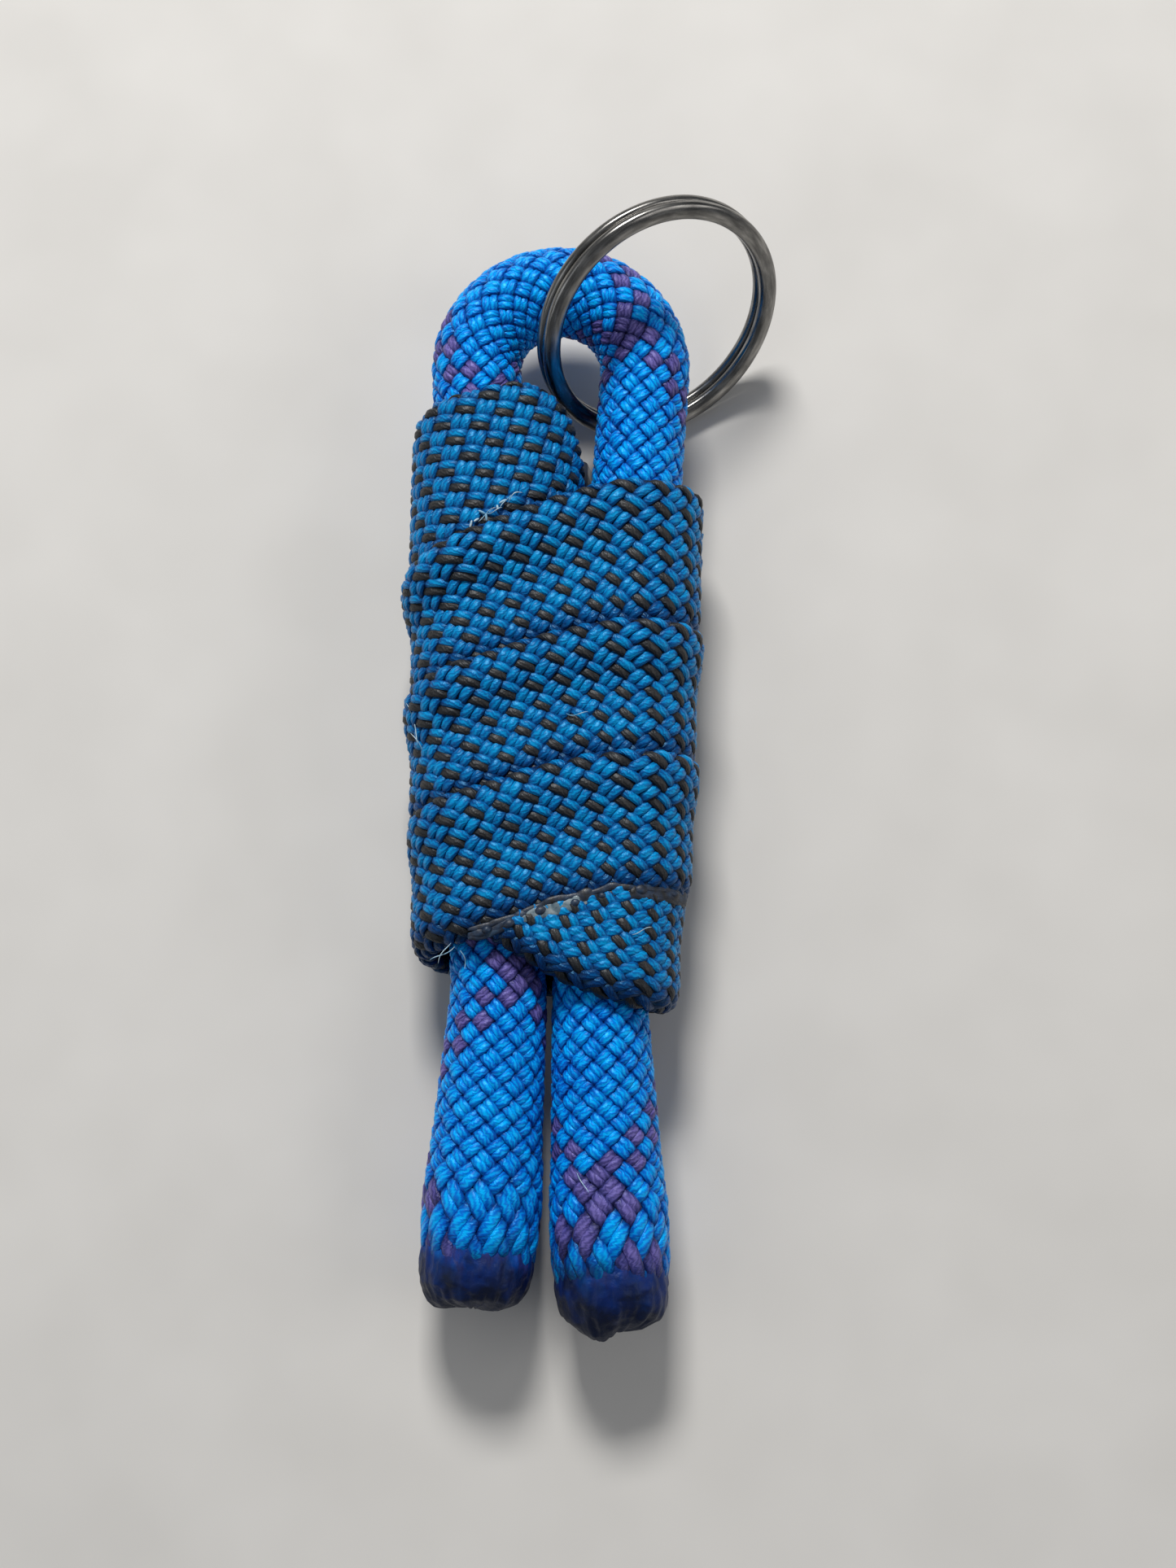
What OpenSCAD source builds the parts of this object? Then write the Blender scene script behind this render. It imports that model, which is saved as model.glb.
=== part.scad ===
// Climbing-rope key fob: a short length of kernmantle rope folded into an eye,
// both legs bound by a flattened braided sleeve, with a two-coil split ring
// through the eye. Millimetres. The fob lies flat: eye towards +Y, tails
// towards -Y, front face +Z. Origin: centre of the eye, on the rope's mid-plane.

/* [Rope] */
// Diameter of the rope
rope_d = 10.5; // [10:0.1:11]
// Thickness of the rope's woven sheath
sheath_t = 0.9; // [0.8:0.05:1]
// Radius of the eye, on the rope's centre line
eye_r = 9.7; // [9.6:0.05:10.2]
// Angle at which the two legs close towards each other
leg_lean = 3.3; // [3.2:0.05:3.5]
// Distance from the middle to each leg at the waist, where the tails start
waist_x = 5.6; // [5.55:0.05:5.8]
// Radius of the gentle bend at the waist
bend_r = 40; // [30:1:60]

/* [Tails] */
// Length of the left tail's sheath below the waist
tail_left = 22.5; // [18:0.5:30]
// Length of the right tail's sheath below the waist
tail_right = 24.5; // [18:0.5:30]
// Diameter of the splayed sheath where it meets the sealed end
flare_d = 13.1; // [12:0.1:14]
// Length of each sealed (melted) rope end
seal_h = 8.4; // [6:0.2:10]

/* [Core] */
// Diameter of one core strand, as a share of the sheath's bore
strand_share = 0.239; // [0.2:0.001:0.24]

/* [Binding sleeve] */
// Thickness of the flattened sleeve
sleeve_t = 2.4; // [2:0.1:2.5]
// Stretch of the wound turns along the fob
turn_scale = 1; // [0.98:0.01:1.02]
// Gap between the edges of neighbouring turns
edge_gap = 0.15; // [0.1:0.05:0.5]
// How far each turn's upper edge stands out over the turn before
edge_rake = 0.8; // [0:0.1:1.2]
// Distance between the rope and the inside of the sleeve
sleeve_gap = 0.12; // [0.1:0.02:0.3]

/* [Split ring] */
// Outer diameter of the split ring
ring_od = 30; // [28:0.5:31]
// Width of the ring's wire, across the ring
wire_w = 2.1; // [1.9:0.1:2.4]
// Height of each coil of wire
wire_h = 1.35; // [1.1:0.05:1.4]
// Gap between the two coils
coil_gap = 0.08; // [0.05:0.01:0.15]
// Tilt of the ring from the fob's plane
ring_tilt = 57.7; // [55:0.1:60]
// Compass direction that the ring tilts towards
ring_turn = -57.9; // [-60:0.1:-55]

/* [Hidden] */
$fn = 64;

rope_r = rope_d / 2;
bore_r = rope_r - sheath_t;
flare_r = flare_d / 2;
// the core strands fill the bore in two layers
strand_d = 2 * bore_r * strand_share;
outer_strands = 9;
inner_strands = 3;
outer_layer_r = bore_r * cos(7.5) - strand_d / 2 - 0.02;
inner_layer_r = strand_d * 0.59;
// the middle of the bend at the waist, and the length of each leg
bend_x = waist_x + bend_r;
leg_len = (eye_r * cos(leg_lean) - bend_x + bend_r * cos(leg_lean)) / sin(leg_lean);
bend_y = -(eye_r + bend_r) * sin(leg_lean) - leg_len * cos(leg_lean);
// the point where the ring's centre sits
ring_c = [11.25, 5.8, 2.15];
ring_mid_r = (ring_od - wire_w) / 2;

// ---------------------------------------------------------------- rope

// The rope's route as stations of [x, y, compass direction of its outer side,
// swell from 0 to 1], from the left tail's end round the eye to the right one's.
function right_side(len) = [
  [bend_x - bend_r * cos(leg_lean), bend_y + bend_r * sin(leg_lean), -leg_lean, 0],
  [bend_x - bend_r, bend_y, 0, 0],
  [bend_x - bend_r * cos(leg_lean), bend_y - bend_r * sin(leg_lean), leg_lean, 0],
  [bend_x - bend_r * cos(leg_lean) + len * sin(leg_lean),
   bend_y - bend_r * sin(leg_lean) - len * cos(leg_lean), leg_lean, 1]];
function mirrored(st) = [for (i = [len(st) - 1 : -1 : 0])
  [-st[i][0], st[i][1], 180 - st[i][2], st[i][3]]];
arc_steps = 24;
route = concat(mirrored(right_side(tail_left)),
  [for (i = [0 : arc_steps]) let (a = 180 + leg_lean - i * (180 + 2 * leg_lean) / arc_steps)
    [eye_r * cos(a), eye_r * sin(a), a, 0]],
  right_side(tail_right));
// one ring of points round a station, at an offset of u outwards and w up
function loop_at(s, m, r, u, w) = [for (j = [0 : m - 1]) let (
    t = (j + 0.5) * 360 / m, n = u + r * cos(t))
  [s[0] + n * cos(s[2]), s[1] + n * sin(s[2]), w + r * sin(t)]];
function side_faces(c, m, at, flip) = [for (i = [0 : c - 2]) for (j = [0 : m - 1])
  let (a = at + i * m + j, b = at + i * m + (j + 1) % m)
  each (flip ? [[a, b, a + m], [b, b + m, a + m]] : [[a, a + m, b], [b, a + m, b + m]])];

// moves something that stands on the XY plane to the start of a tail
module at_tail()
  translate([bend_x - bend_r * cos(leg_lean), bend_y - bend_r * sin(leg_lean), 0])
    rotate([90, 0, leg_lean]) children();

sheath_sides = 24;
module rope_sheath() {
  m = sheath_sides;
  c = len(route);
  pts = concat(
    [for (s = route) each loop_at(s, m, rope_r + (flare_r - rope_r) * s[3], 0, 0)],
    [for (s = route) each loop_at(s, m, bore_r + (flare_r - rope_r) * s[3], 0, 0)]);
  faces = concat(side_faces(c, m, 0, false), side_faces(c, m, c * m, true),
    [for (j = [0 : m - 1]) let (k = (j + 1) % m) each
      [[j, k, c * m + j], [k, c * m + k, c * m + j]]],
    [for (j = [0 : m - 1]) let (k = (j + 1) % m, e = (c - 1) * m) each
      [[e + j, c * m + e + j, e + k], [e + k, c * m + e + j, c * m + e + k]]]);
  color([0.05, 0.42, 0.86]) polyhedron(points = pts, faces = faces, convexity = 10);
}

// one twisted strand of the core, drawn as the rod that it fills
strand_sides = 8;
module core_rod(u, w) {
  m = strand_sides;
  c = len(route);
  pts = [for (s = route) each loop_at(s, m, strand_d / 2, u, w)];
  faces = concat([[for (j = [0 : m - 1]) j]], side_faces(c, m, 0, false),
    [[for (j = [m - 1 : -1 : 0]) (c - 1) * m + j]]);
  polyhedron(points = pts, faces = faces, convexity = 10);
}
module core_strand(i)
  color([0.93, 0.93, 0.9])
  if (i < outer_strands) {
    a = i * 360 / outer_strands;
    core_rod(outer_layer_r * cos(a), outer_layer_r * sin(a));
  } else if (i < outer_strands + inner_strands) {
    a = 20 + (i - outer_strands) * 360 / inner_strands;
    core_rod(inner_layer_r * cos(a), inner_layer_r * sin(a));
  }

// the melted end of a tail: a swollen lump with a rounded-off rim
module sealed_end(len)
  color([0.08, 0.1, 0.25]) at_tail() translate([0, 0, len]) rotate_extrude()
    polygon([[0, 0], [flare_r, 0], [flare_r + 0.1, seal_h * 0.15],
      [flare_r, seal_h * 0.42], [flare_r - 0.4, seal_h * 0.68],
      [flare_r - 1.2, seal_h * 0.88], [flare_r - 2.6, seal_h * 0.98],
      [flare_r - 4, seal_h], [0, seal_h]]);
module sealed_end_left() mirror([1, 0, 0]) sealed_end(tail_left);
module sealed_end_right() sealed_end(tail_right);

// ------------------------------------------------------------- sleeve

// middle of the sleeve's thickness, out from the rope's centre line
band_r = rope_r + sleeve_gap + sleeve_t / 2;
// distance of a leg's centre line from the middle, at a distance y along the fob
function leg_at(y) = eye_r * cos(leg_lean) + (y + eye_r * sin(leg_lean)) * tan(leg_lean);
// half the straight width of the wound bundle at a distance y along the fob
function half_span(y) = y > -62 ? 8.85 + (y + 23.6) * 0.033 : 7.58 + (y + 62) * 0.14;
// A station is [x, z, normal x, normal z, top edge y, bottom edge y, rake]. The
// sleeve is a flat band swept along such stations, always square to the fob.
function arc_st(cx, r, a, side, yt, yb, rake) =
  [cx + r * cos(a), r * sin(a), side * cos(a), side * sin(a), yt, yb, rake];
function left_st(a, yt, yb) = arc_st(-leg_at(yt), band_r, a, 1, yt, yb, 0);
function right_st(cx, a, yt, yb) = arc_st(cx, band_r, a, -1, yt, yb, 0);
// first pass: from behind the left leg, over its front, down between the
// legs and behind the right leg to its outer side
function first_pass() = [
  left_st(285, -13.6, -25.6),
  left_st(260, -13.6, -25.9),
  left_st(235, -13.4, -26.0),
  left_st(210, -13.0, -26.0),
  left_st(190, -12.2, -26.0),
  left_st(170, -10.8, -24.6),
  left_st(150, -8.8, -22.8),
  left_st(130, -7.0, -20.8),
  left_st(110, -5.4, -19.2),
  left_st(90, -4.4, -18.0),
  [-6.2, band_r, 0.14, 0.99, -4.0, -17.0, 0],
  [-3.2, band_r - 0.4, 0.39, 0.92, -4.8, -16.6, 0],
  [-0.9, 4.6, 0.68, 0.73, -6.6, -16.6, 0],
  [0.6, 2.6, 0.85, 0.53, -8.6, -16.8, 0],
  [1.5, 0.6, 0.93, 0.37, -9.6, -17.4, 0],
  right_st(leg_at(-18.6), 200, -10.0, -18.6),
  right_st(leg_at(-20.6), 220, -10.8, -20.6),
  right_st(leg_at(-21), 245, -12.0, -23.6),
  right_st(leg_at(-18), 270, -13.2, -26.4),
  right_st(leg_at(-14.2), 300, -14.2, -29.0),
  right_st(leg_at(-15), 330, -15.0, -30.6)];
// the outline of the wound bundle: a slot shape, k = 0 at the right side,
// 0.25 in the middle of the front, 0.5 at the left, 0.75 behind
function slot_st(k, yt, yb, rake, r) = let (
    f = k - floor(k), h = half_span((yt + yb) / 2),
    q = PI * r / 2, s = f * 4 * (h + q))
  s < q ? arc_st(h, r, s / r * 180 / PI, -1, yt, yb, -rake)
  : s < q + 2 * h ? [h - (s - q), r, 0, -1, yt, yb, -rake]
  : s < 3 * q + 2 * h ? arc_st(-h, r, 90 + (s - q - 2 * h) / r * 180 / PI, -1, yt, yb, -rake)
  : s < 3 * q + 4 * h ? [-h + (s - 3 * q - 2 * h), -r, 0, 1, yt, yb, -rake]
  : arc_st(h, r, 270 + (s - 3 * q - 4 * h) / r * 180 / PI, -1, yt, yb, -rake);
// top edge of the band at every half turn: right, left, right, left ...
edge_y = [-15.6, -26.4, -31.6, -40, -46.4, -54, -61, -67.6, -75.2, -82];
function top_y(k) = let (i = floor(k * 2), f = k * 2 - i)
  (edge_y[i] + (edge_y[i + 1] - edge_y[i]) * f) * turn_scale;
per_turn = 22;
// lifts the lower turns off the rope, where layers lie on each other
function lift(y) = y > -30 ? 0 : min(0.9, -(y + 30) * 0.03);
function turns() = [for (i = [0 : 3 * per_turn]) let (k = i / per_turn, y = top_y(k))
  slot_st(k, y, top_y(k + 1) + edge_gap, edge_rake * min(1, k * 2), band_r + lift(y - 7))];
// last pass: over the front from the right side, cut off along the turn above
last_steps = 9;
function last_st(i, y0, y1) = let (k = 3 + i / per_turn, t = i / last_steps, y = top_y(k))
  slot_st(k, y - y0, (y - y1 * (1 - t) * (1 - t * 0.35) - 0.9 * t - 0.6), edge_rake * (1 - t), band_r + lift(y - 7) * (1 - t));
function last_pass() = [for (i = [1 : last_steps]) last_st(i, 1.3, 13.4)];
function cut_edge() = [for (i = [1 : last_steps]) let (k = 3 + (i - 0.3) / per_turn, t = i / last_steps, y = top_y(k))
  slot_st(k, y - 0.45, y - 1.1, 0, band_r + 0.2 + lift(y - 7) * (1 - t))];

// the rounded flat section of the sleeve, as [across, out] from -1 to 1
sec = [[1, 0], [0.97, 0.62], [0.86, 1], [0.3, 1], [-0.3, 1], [-0.86, 1], [-0.97, 0.62],
       [-1, 0], [-0.97, -0.62], [-0.86, -1], [-0.3, -1], [0.3, -1], [0.86, -1], [0.97, -0.62]];
module band(st, t) {
  m = len(sec);
  c = len(st);
  pts = [for (s = st) for (p = sec) let (
      y = (s[4] + s[5]) / 2 + p[0] * (s[4] - s[5]) / 2,
      n = p[1] * t / 2 + s[6] * (p[0] + 1) / 2)
    [s[0] + s[2] * n, y, s[1] + s[3] * n]];
  faces = concat([[for (j = [0 : m - 1]) j]], side_faces(c, m, 0, false),
    [[for (j = [m - 1 : -1 : 0]) (c - 1) * m + j]]);
  polyhedron(points = pts, faces = faces, convexity = 10);
}
module wrap_sleeve()
  color([0.03, 0.35, 0.62]) band(concat(first_pass(), turns(), last_pass()), sleeve_t);
// the singed, fused edge where the sleeve was cut off
module sleeve_cut_edge() color([0.05, 0.07, 0.12]) band(cut_edge(), sleeve_t * 0.6);

// --------------------------------------------------------- split ring

// angle travelled along the wire: one coil, a crossing step, a second coil
ring_from = 16;
ring_to = 704;
ring_steps = 112;
function coil_z(a) = let (t = max(0, min(1, (a - 345) / 30)), s = t * t * (3 - 2 * t))
  (wire_h + coil_gap) * (s - 0.5);
wire_sec = [for (i = [0 : 11]) let (a = i * 30 + 15, c = cos(a), s = sin(a))
  [sign(c) * pow(abs(c), 0.6) * wire_w / 2, sign(s) * pow(abs(s), 0.6) * wire_h / 2]];
module wire() {
  m = len(wire_sec);
  pts = [for (i = [0 : ring_steps]) let (a = ring_from + (ring_to - ring_from) * i / ring_steps)
    for (p = wire_sec) [(ring_mid_r + p[0]) * cos(a), (ring_mid_r + p[0]) * sin(a), coil_z(a) + p[1]]];
  faces = concat([[for (j = [m - 1 : -1 : 0]) j]], side_faces(ring_steps + 1, m, 0, true),
    [[for (j = [0 : m - 1]) ring_steps * m + j]]);
  polyhedron(points = pts, faces = faces, convexity = 10);
}
module split_ring()
  color([0.62, 0.62, 0.6]) translate(ring_c) rotate([0, ring_tilt, ring_turn])
    rotate([0, 0, 333]) wire();

rope_sheath();
core_strand(0);  // core_strand_01
core_strand(1);  // core_strand_02
core_strand(2);  // core_strand_03
core_strand(3);  // core_strand_04
core_strand(4);  // core_strand_05
core_strand(5);  // core_strand_06
core_strand(6);  // core_strand_07
core_strand(7);  // core_strand_08
core_strand(8);  // core_strand_09
core_strand(9);  // core_strand_10
core_strand(10);  // core_strand_11
core_strand(11);  // core_strand_12
sealed_end_left();
sealed_end_right();
wrap_sleeve();
sleeve_cut_edge();
split_ring();
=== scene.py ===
import math
import bpy
import numpy as np
from mathutils import Matrix, Vector, noise


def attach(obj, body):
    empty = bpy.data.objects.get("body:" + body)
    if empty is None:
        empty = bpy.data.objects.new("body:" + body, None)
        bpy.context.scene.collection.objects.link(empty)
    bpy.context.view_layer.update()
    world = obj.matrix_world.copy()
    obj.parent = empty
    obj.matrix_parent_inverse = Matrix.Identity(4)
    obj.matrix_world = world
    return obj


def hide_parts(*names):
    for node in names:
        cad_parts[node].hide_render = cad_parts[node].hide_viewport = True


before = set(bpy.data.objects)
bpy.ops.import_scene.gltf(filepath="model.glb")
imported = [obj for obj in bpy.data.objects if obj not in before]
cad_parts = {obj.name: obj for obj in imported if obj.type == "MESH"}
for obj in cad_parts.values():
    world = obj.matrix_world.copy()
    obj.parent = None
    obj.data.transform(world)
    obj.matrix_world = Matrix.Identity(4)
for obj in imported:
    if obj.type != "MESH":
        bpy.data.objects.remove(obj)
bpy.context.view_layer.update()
MM = 0.001
rng = np.random.RandomState(7)

# ------------------------------------------------------------ camera, stage
TILT, ROLL = math.radians(11.0), math.radians(0.9)
right = Vector((math.cos(ROLL), math.sin(ROLL), 0))
up = Vector((-math.sin(ROLL) * math.cos(TILT), math.cos(ROLL) * math.cos(TILT), math.sin(TILT)))
back = right.cross(up)
look = Vector((4.0, -48.45, 0.0)) * MM
cam_data = bpy.data.cameras.new("camera")
cam = bpy.data.objects.new("camera", cam_data)
bpy.context.scene.collection.objects.link(cam)
m = Matrix.Identity(4)
for r in range(3):
    m[r][0], m[r][1], m[r][2] = right[r], up[r], back[r]
    m[r][3] = (look + back * 263.64 * MM)[r]
cam.matrix_world = m
cam_data.sensor_fit = "HORIZONTAL"
cam_data.sensor_width = 36.0
cam_data.lens = 36.0 * 2900 / 1445
cam_data.clip_start = 0.01
cam_data.clip_end = 20
bpy.context.scene.camera = cam
bpy.context.scene.view_settings.view_transform = "Standard"


def area_light(name, where, target, size, power, colour):
    data = bpy.data.lights.new(name, "AREA")
    data.shape = "RECTANGLE"
    data.size, data.size_y = size
    data.energy = power
    data.color = colour
    o = bpy.data.objects.new(name, data)
    bpy.context.scene.collection.objects.link(o)
    o.location = Vector(where)
    d = Vector(target) - Vector(where)
    o.rotation_euler = d.to_track_quat("-Z", "Y").to_euler()
    return o


centre = (0.0, -0.05, 0.0)
area_light("key", (-0.08, 0.45, 0.50), centre, (0.20, 0.15), 5.0, (1.0, 0.985, 0.96))
area_light("fill", (-0.55, -0.25, 0.45), centre, (0.5, 0.5), 0.7, (0.93, 0.96, 1.0))
area_light("side", (0.55, -0.10, 0.40), centre, (0.4, 0.4), 0.8, (1.0, 0.97, 0.94))
world = bpy.data.worlds.new("studio")
bpy.context.scene.world = world
world.use_nodes = True
world.node_tree.nodes["Background"].inputs[0].default_value = (0.72, 0.76, 0.82, 1)
world.node_tree.nodes["Background"].inputs[1].default_value = 0.22


# ---------------------------------------------------------------- materials
def principled(name, **values):
    mat = bpy.data.materials.new(name)
    mat.use_nodes = True
    p = mat.node_tree.nodes["Principled BSDF"]
    for key, v in values.items():
        p.inputs[key.replace("_", " ")].default_value = v
    return mat, mat.node_tree, p


def add(tree, kind, **values):
    n = tree.nodes.new(kind)
    for key, v in values.items():
        setattr(n, key, v)
    return n


def ramp(tree, stops):
    n = add(tree, "ShaderNodeValToRGB")
    while len(n.color_ramp.elements) < len(stops):
        n.color_ramp.elements.new(0.5)
    for e, (at, c) in zip(n.color_ramp.elements, stops):
        e.position = at
        e.color = (*c, 1)
    return n


def melt_colour(t, tc, colour):
    """Darkens a colour towards the melted ends: first navy, then black, in patches."""
    pos = add(t, "ShaderNodeSeparateXYZ")
    t.links.new(tc.outputs["Object"], pos.inputs[0])
    lean = add(t, "ShaderNodeMath", operation="MULTIPLY_ADD")
    lean.inputs[1].default_value = 0.107
    t.links.new(pos.outputs[0], lean.inputs[0])
    t.links.new(pos.outputs[1], lean.inputs[2])
    for scale, swing, y0, y1, to, most in ((190.0, 0.008, -98.8, -102.6, (0.0, 0.014, 0.11), 0.92), (340.0, 0.015, -100.4, -105.6, (0.003, 0.004, 0.012), 0.90)):
        n = add(t, "ShaderNodeTexNoise")
        n.inputs["Scale"].default_value = scale
        n.inputs["Detail"].default_value = 4.0
        t.links.new(tc.outputs["Object"], n.inputs["Vector"])
        off = add(t, "ShaderNodeMath", operation="SUBTRACT")
        off.inputs[1].default_value = 0.5
        t.links.new(n.outputs[0], off.inputs[0])
        k = add(t, "ShaderNodeMath", operation="MULTIPLY_ADD")
        k.inputs[1].default_value = swing
        t.links.new(off.outputs[0], k.inputs[0])
        t.links.new(lean.outputs[0], k.inputs[2])
        mr = add(t, "ShaderNodeMapRange")
        mr.inputs["From Min"].default_value = y0 * MM
        mr.inputs["From Max"].default_value = y1 * MM
        mr.inputs["To Max"].default_value = most
        t.links.new(k.outputs[0], mr.inputs["Value"])
        mx = add(t, "ShaderNodeMix", data_type="RGBA")
        t.links.new(mr.outputs[0], mx.inputs["Factor"])
        t.links.new(colour, mx.inputs["A"])
        mx.inputs["B"].default_value = (*to, 1)
        colour = mx.outputs["Result"]
    return colour


def yarn_material(name, dark, mid, light, rough, sheen, coat, strands, bump, tint, melts=False):
    """A bundle of twisted filaments: fine slanting ridges along the yarn, colour
    that shifts a little from yarn to yarn, painted highlights on the crowns and painted shade in the dips."""
    mat, t, p = principled(name, Roughness=rough, Sheen_Weight=sheen, Sheen_Roughness=0.4,
                           Coat_Weight=coat, Coat_Roughness=0.3, Specular_IOR_Level=0.45, Specular_Tint=(*tint, 1))
    uv = add(t, "ShaderNodeUVMap", uv_map="yarn")
    sep = add(t, "ShaderNodeSeparateXYZ")
    t.links.new(uv.outputs[0], sep.inputs[0])
    # filament stripes: phase = strands * around + twist * along
    a = add(t, "ShaderNodeMath", operation="MULTIPLY")
    a.inputs[1].default_value = strands * 2 * math.pi
    t.links.new(sep.outputs[1], a.inputs[0])
    b = add(t, "ShaderNodeMath", operation="MULTIPLY_ADD")
    b.inputs[1].default_value = 5.2
    t.links.new(sep.outputs[0], b.inputs[0])
    t.links.new(a.outputs[0], b.inputs[2])
    wob = add(t, "ShaderNodeTexNoise", noise_dimensions="2D")
    wob.inputs["Scale"].default_value = 2.5
    wob.inputs["Detail"].default_value = 2.0
    t.links.new(uv.outputs[0], wob.inputs["Vector"])
    c = add(t, "ShaderNodeMath", operation="MULTIPLY_ADD")
    c.inputs[1].default_value = 9.0
    t.links.new(wob.outputs[0], c.inputs[0])
    t.links.new(b.outputs[0], c.inputs[2])
    s = add(t, "ShaderNodeMath", operation="SINE")
    t.links.new(c.outputs[0], s.inputs[0])
    half = add(t, "ShaderNodeMath", operation="MULTIPLY_ADD")
    half.inputs[1].default_value = 0.5
    half.inputs[2].default_value = 0.5
    t.links.new(s.outputs[0], half.inputs[0])
    # slow colour drift over the object, fine drift along a yarn
    tc = add(t, "ShaderNodeTexCoord")
    big = add(t, "ShaderNodeTexNoise")
    big.inputs["Scale"].default_value = 420.0
    big.inputs["Detail"].default_value = 3.0
    t.links.new(tc.outputs["Object"], big.inputs["Vector"])
    mixv = add(t, "ShaderNodeMath", operation="MULTIPLY_ADD")
    mixv.inputs[1].default_value = 0.34
    t.links.new(half.outputs[0], mixv.inputs[0])
    mb = add(t, "ShaderNodeMath", operation="MULTIPLY")
    mb.inputs[1].default_value = 0.78
    t.links.new(big.outputs[0], mb.inputs[0])
    t.links.new(mb.outputs[0], mixv.inputs[2])
    # painted light from the shade attribute: a painted highlight lifts the crown towards the pale colour, and painted
    # shade darkens it where it dives under another
    sh = add(t, "ShaderNodeAttribute", attribute_name="shade")
    crown = add(t, "ShaderNodeMath", operation="MULTIPLY_ADD")
    crown.inputs[1].default_value = 0.42
    t.links.new(sh.outputs["Fac"], crown.inputs[0])
    t.links.new(mixv.outputs[0], crown.inputs[2])
    less = add(t, "ShaderNodeMath", operation="SUBTRACT")
    less.inputs[1].default_value = 0.26
    t.links.new(crown.outputs[0], less.inputs[0])
    cr = ramp(t, [(0.16, dark), (0.5, mid), (0.86, light)])
    t.links.new(less.outputs[0], cr.inputs[0])
    # painted shade: multiplies the colour down to near black where the shade attribute is low
    painted_shade_ramp = ramp(t, [(0.0, (0.02, 0.04, 0.08)), (0.3, (0.12, 0.18, 0.30)), (0.62, (0.55, 0.62, 0.74)), (0.92, (1.0, 1.0, 1.0))])
    t.links.new(sh.outputs["Fac"], painted_shade_ramp.inputs[0])
    mul = add(t, "ShaderNodeMix", data_type="RGBA", blend_type="MULTIPLY")
    mul.inputs["Factor"].default_value = 1.0
    t.links.new(cr.outputs[0], mul.inputs["A"])
    t.links.new(painted_shade_ramp.outputs[0], mul.inputs["B"])
    colour = mul.outputs["Result"]
    if melts:
        colour = melt_colour(t, tc, colour)
    t.links.new(colour, p.inputs["Base Color"])
    bp = add(t, "ShaderNodeBump")
    bp.inputs["Strength"].default_value = bump
    bp.inputs["Distance"].default_value = 0.00006
    t.links.new(half.outputs[0], bp.inputs["Height"])
    t.links.new(bp.outputs[0], p.inputs["Normal"])
    return mat


rope_blue = yarn_material("rope_blue", (0.0, 0.045, 0.34), (0.0, 0.17, 0.70), (0.0, 0.42, 0.95), 0.38, 0.02, 0.06, 7, 0.6,
                          (0.12, 0.62, 1.0), True)
rope_violet = yarn_material("rope_violet", (0.02, 0.014, 0.08), (0.06, 0.05, 0.21), (0.15, 0.125, 0.40), 0.45, 0.04, 0.05, 7, 0.6,
                            (0.6, 0.6, 1.0), True)
sleeve_blue = yarn_material("sleeve_blue", (0.0, 0.045, 0.19), (0.0, 0.12, 0.37), (0.0, 0.27, 0.60), 0.4, 0.02, 0.06, 8, 0.6,
                            (0.2, 0.65, 1.0))
sleeve_black = yarn_material("sleeve_black", (0.003, 0.003, 0.004), (0.009, 0.009, 0.010), (0.028, 0.026, 0.025), 0.5, 0.03, 0.05, 8, 0.6,
                             (0.8, 0.85, 0.9))


def woven_core(name, dark, light, scale, rough):
    mat, t, p = principled(name, Roughness=rough, Sheen_Weight=0.2)
    tc = add(t, "ShaderNodeTexCoord")
    v = add(t, "ShaderNodeTexVoronoi")
    v.inputs["Scale"].default_value = scale
    n = add(t, "ShaderNodeTexNoise")
    n.inputs["Scale"].default_value = scale * 2
    n.inputs["Detail"].default_value = 4
    t.links.new(tc.outputs["Object"], v.inputs["Vector"])
    t.links.new(tc.outputs["Object"], n.inputs["Vector"])
    cr = ramp(t, [(0.25, dark), (0.75, light)])
    t.links.new(n.outputs[0], cr.inputs[0])
    t.links.new(cr.outputs[0], p.inputs["Base Color"])
    bp = add(t, "ShaderNodeBump")
    bp.inputs["Strength"].default_value = 0.6
    bp.inputs["Distance"].default_value = 0.00015
    t.links.new(v.outputs["Distance"], bp.inputs["Height"])
    t.links.new(bp.outputs[0], p.inputs["Normal"])
    return mat


# painted shade: the layers under the yarns are near black, standing in for the shade in the gaps between yarns
# (core_white is the core's own colour)
under_blue = woven_core("under_blue", (0.0, 0.006, 0.05), (0.0, 0.014, 0.09), 900, 0.8)
under_sleeve = woven_core("under_sleeve", (0.0, 0.004, 0.014), (0.0, 0.010, 0.032), 900, 0.8)
core_white = woven_core("core_white", (0.55, 0.55, 0.5), (0.85, 0.85, 0.8), 1200, 0.7)


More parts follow.
